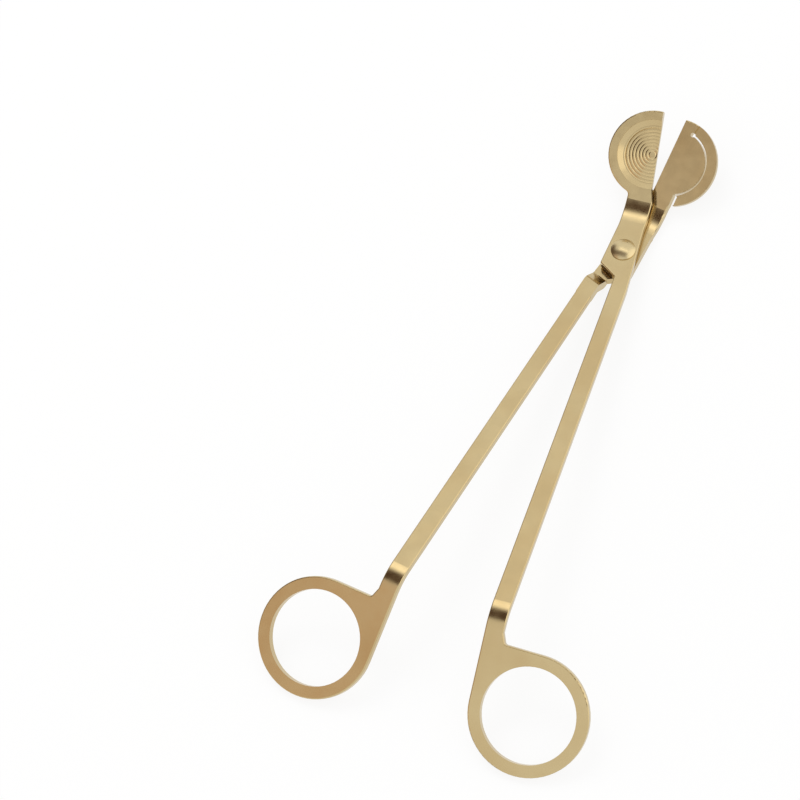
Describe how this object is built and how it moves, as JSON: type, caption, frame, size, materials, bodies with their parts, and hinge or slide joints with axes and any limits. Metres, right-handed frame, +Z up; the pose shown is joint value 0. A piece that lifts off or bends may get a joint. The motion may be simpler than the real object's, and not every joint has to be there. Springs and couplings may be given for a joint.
{
  "type": "candle wick trimmer",
  "caption": "Scissor-like candle wick trimmer: stamped levers on a rivet, finger rings bent down, head bent up with a debris tray and a slotted half-moon blade.",
  "frame": {"origin": "centre of the base of the bounding box, on the table the tool lies on, with the levers a little open", "axes": "+Y from the finger rings to the cutting head along the middle line between the levers, +Z up from the table, +X to the right seen from above with the head away"},
  "size_m": [0.089, 0.1812, 0.0195],
  "materials": {
    "plated_sheet": "satin",
    "rivet": "polished",
    "washer": "satin"
  },
  "bodies": {
    "tray_side": {"tray_lever": "plated_sheet", "pivot_rivet": "rivet", "friction_washer": "washer"},
    "blade_side": {"blade_lever": "plated_sheet"}
  },
  "joints": [
    {"name": "lever_pivot", "type": "hinge", "parent": "tray_side", "child": "blade_side", "pos_m": [0, 0.05149, 0.00369], "axis": [0, -0.1237, -0.9923], "range_deg": [-11, 35]}
  ]
}
